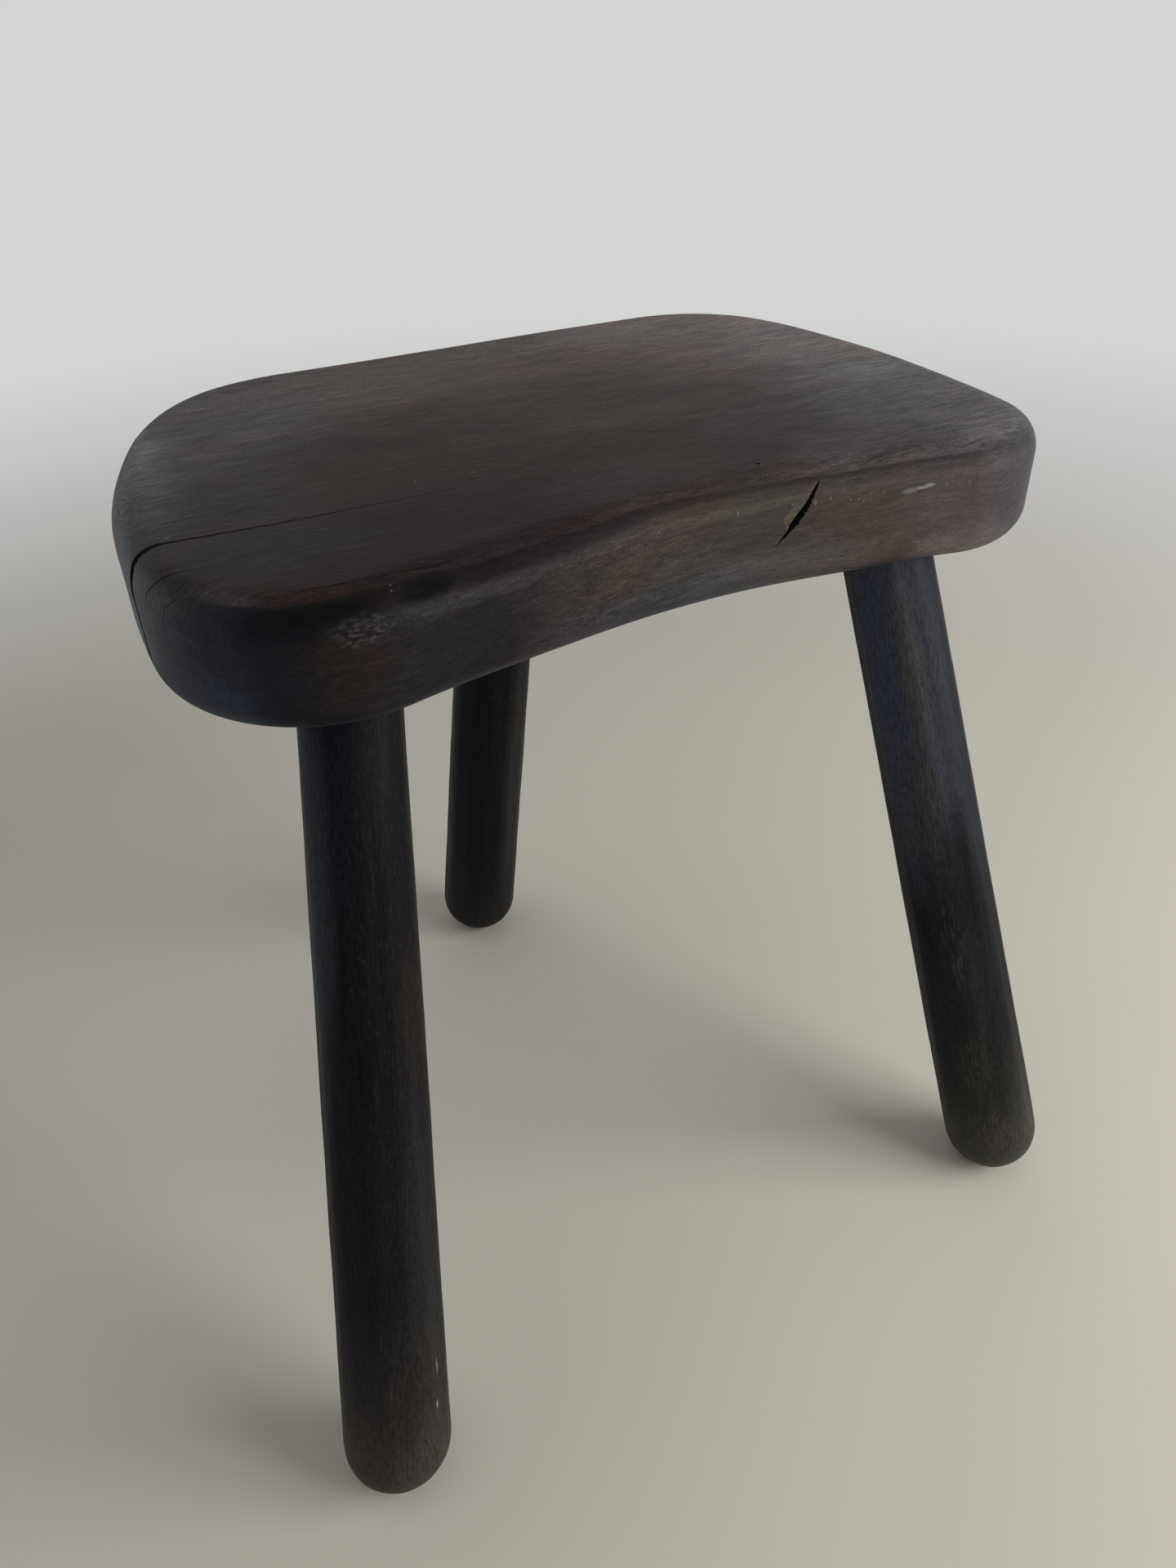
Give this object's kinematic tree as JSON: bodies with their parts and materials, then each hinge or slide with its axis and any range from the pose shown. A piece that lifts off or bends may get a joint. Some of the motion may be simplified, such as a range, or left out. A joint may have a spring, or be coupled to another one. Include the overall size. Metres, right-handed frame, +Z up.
{
  "type": "tripod stool",
  "caption": "Low wooden stool: thick dark-stained slab seat with a hollowed front edge and rounded corners, on raked round legs in blind sockets.",
  "frame": {"origin": "on the floor, at the middle of the stool's bounding box", "axes": "+Z up out of the seat's top, X along the seat's grain and long side, +Y to the straight back edge"},
  "size_m": [0.3512, 0.3274, 0.352],
  "materials": {
    "seat_wood": "dark stain under satin wax",
    "leg_wood": "near-black stain, satin wax",
    "wedge_wood": "bare split hardwood"
  },
  "bodies": {
    "root": {"seat_slab": "seat_wood", "leg_front_left": "leg_wood", "leg_front_right": "leg_wood", "leg_rear": "leg_wood", "fox_wedge_front_left": "wedge_wood", "fox_wedge_front_right": "wedge_wood", "fox_wedge_rear": "wedge_wood"}
  },
  "joints": []
}
